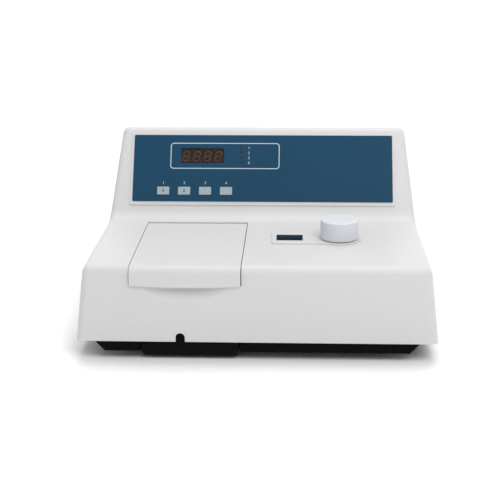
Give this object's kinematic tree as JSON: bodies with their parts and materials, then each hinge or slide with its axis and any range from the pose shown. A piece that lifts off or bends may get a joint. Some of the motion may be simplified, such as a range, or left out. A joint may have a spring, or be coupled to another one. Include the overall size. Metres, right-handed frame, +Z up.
{
  "type": "benchtop fluorometer",
  "caption": "Low benchtop fluorometer: moulded cover with a sloped display head, hinged sample lid, cell holder, wavelength knob with counter, and inner optics.",
  "frame": {"origin": "on the table under the middle of the outline", "axes": "+X to the user's right, +Y to the rear, +Z up"},
  "size_m": [0.3762, 0.321, 0.1994],
  "materials": {
    "cover_plastic": "fine-grained satin moulding",
    "overlay_film": "printed polyester film",
    "key_plastic": "satin moulding",
    "knob_plastic": "ribbed satin moulding",
    "smoked_window": "smoked acrylic",
    "counter_pane": "smoked acrylic",
    "black_casting": "matt black powder coat on a casting",
    "dark_pan": "black powder coat on pressed steel",
    "black_plastic": "black moulding",
    "foot_rubber": "matt rubber",
    "seal_foam": "closed-cell foam",
    "screw_steel": "zinc-plated",
    "shaft_steel": "ground",
    "gear_brass": "machined",
    "machined_aluminium": "machined",
    "cast_aluminium": "as cast",
    "black_anodised": "black anodised",
    "sheet_steel": "plated sheet",
    "panel_paint": "light grey paint on sheet aluminium",
    "circuit_green": "solder mask on glass epoxy",
    "module_face": "grey potted segment module",
    "led_red": "tinted epoxy",
    "drum_black": "black moulding",
    "lens_glass": "polished",
    "filter_glass": "coloured interference filter",
    "bulb_glass": "clear envelope",
    "grating_mirror": "aluminised, finely ruled",
    "ceramic_white": "unglazed ceramic",
    "core_iron": "varnished laminations"
  },
  "bodies": {
    "base": {"top_cover": "cover_plastic", "base_pan": "dark_pan", "feet": "foot_rubber", "pan_head_screws": "screw_steel", "lid_hinge_brackets": "cover_plastic", "sample_chamber": "black_casting", "lid_seal": "seal_foam", "cuvette_holder": "black_anodised", "cuvette_spring": "shaft_steel", "display_overlay": "overlay_film", "display_window": "smoked_window", "display_board": "circuit_green", "display_spacers": "gear_brass", "digit_display": "module_face", "indicator_leds": "led_red", "key_switches": "black_plastic", "gear_bracket": "machined_aluminium", "guide_rod": "shaft_steel", "counter_frame": "black_plastic", "counter_window": "counter_pane", "monochromator_body": "cast_aluminium", "monochromator_cover": "cast_aluminium", "slit_plates": "black_anodised", "emission_tube": "black_anodised", "emission_lens": "lens_glass", "excitation_tube": "black_anodised", "excitation_lens": "lens_glass", "filter_slide": "black_anodised", "excitation_filter": "filter_glass", "lamp_house": "sheet_steel", "lamp_socket": "ceramic_white", "lamp": "bulb_glass", "detector_housing": "cast_aluminium", "photomultiplier": "bulb_glass", "main_board": "circuit_green", "power_transformer": "core_iron", "rear_panel": "panel_paint", "fan_frame": "black_plastic", "mains_inlet": "black_plastic", "power_switch": "black_plastic"},
    "lid": {"sample_lid": "cover_plastic", "lid_hinge_pins": "shaft_steel"},
    "knob": {"wavelength_knob": "knob_plastic", "knob_shaft": "shaft_steel", "knob_gear": "gear_brass"},
    "screw": {"drive_screw": "shaft_steel", "screw_gear": "gear_brass", "drum_units": "drum_black"},
    "tens": {"drum_tens": "drum_black"},
    "hundreds": {"drum_hundreds": "drum_black"},
    "carriage": {"screw_carriage": "gear_brass"},
    "turntable": {"grating_table": "black_anodised", "grating": "grating_mirror", "sine_arm": "machined_aluminium"},
    "key_1_body": {"key_1": "key_plastic"},
    "key_2_body": {"key_2": "key_plastic"},
    "key_3_body": {"key_3": "key_plastic"},
    "key_4_body": {"key_4": "key_plastic"},
    "rocker": {"power_rocker": "black_plastic"},
    "fan": {"fan_rotor": "black_plastic"}
  },
  "joints": [
    {"name": "lid_hinge", "type": "hinge", "parent": "base", "child": "lid", "pos_m": [-0.073, 0.0043, 0.0977], "axis": [-1, 0, 0], "range_deg": [0, 100]},
    {"name": "knob_turn", "type": "hinge", "parent": "base", "child": "knob", "pos_m": [0.0873, -0.053, 0.1057], "axis": [0, 0, 1], "range_deg": [-5040, 5400]},
    {"name": "screw_turn", "type": "hinge", "parent": "base", "child": "screw", "pos_m": [0.0873, -0.053, 0.081], "axis": [1, 0, 0], "range_deg": [-5050, 5410]},
    {"name": "tens_turn", "type": "hinge", "parent": "base", "child": "tens", "pos_m": [0.0331, -0.053, 0.081], "axis": [1, 0, 0], "range_deg": [-510, 545]},
    {"name": "hundreds_turn", "type": "hinge", "parent": "base", "child": "hundreds", "pos_m": [0.0271, -0.053, 0.081], "axis": [1, 0, 0], "range_deg": [-51, 55]},
    {"name": "carriage_slide", "type": "slide", "parent": "base", "child": "carriage", "axis": [1, 0, 0], "range_m": [-0.0061, 0.0057]},
    {"name": "grating_turn", "type": "hinge", "parent": "base", "child": "turntable", "pos_m": [0.126, -0.0775, 0.048], "axis": [0, 0, 1], "range_deg": [-4.9, 5.2]},
    {"name": "key_1_press", "type": "slide", "parent": "base", "child": "key_1_body", "axis": [0, 0.8558, -0.5173], "range_m": [0, 0.0008], "stiffness_N_per_m": 800},
    {"name": "key_2_press", "type": "slide", "parent": "base", "child": "key_2_body", "axis": [0, 0.8558, -0.5173], "range_m": [0, 0.0008], "stiffness_N_per_m": 800},
    {"name": "key_3_press", "type": "slide", "parent": "base", "child": "key_3_body", "axis": [0, 0.8558, -0.5173], "range_m": [0, 0.0008], "stiffness_N_per_m": 800},
    {"name": "key_4_press", "type": "slide", "parent": "base", "child": "key_4_body", "axis": [0, 0.8558, -0.5173], "range_m": [0, 0.0008], "stiffness_N_per_m": 800},
    {"name": "rocker_tilt", "type": "hinge", "parent": "base", "child": "rocker", "pos_m": [0.118, 0.1557, 0.084], "axis": [0, 0, 1], "range_deg": [0, 18]},
    {"name": "fan_spin", "type": "hinge", "parent": "base", "child": "fan", "pos_m": [-0.073, 0.145, 0.058], "axis": [0, 1, 0], "continuous": true}
  ],
  "couplings": [
    {"joint": "screw_turn", "follows": "knob_turn", "ratio": 1},
    {"joint": "tens_turn", "follows": "knob_turn", "ratio": 0.1},
    {"joint": "hundreds_turn", "follows": "knob_turn", "ratio": 0.01},
    {"joint": "carriage_slide", "follows": "knob_turn", "m_per_rad": -0.000063662},
    {"joint": "grating_turn", "follows": "knob_turn", "ratio": 0.00095445}
  ]
}
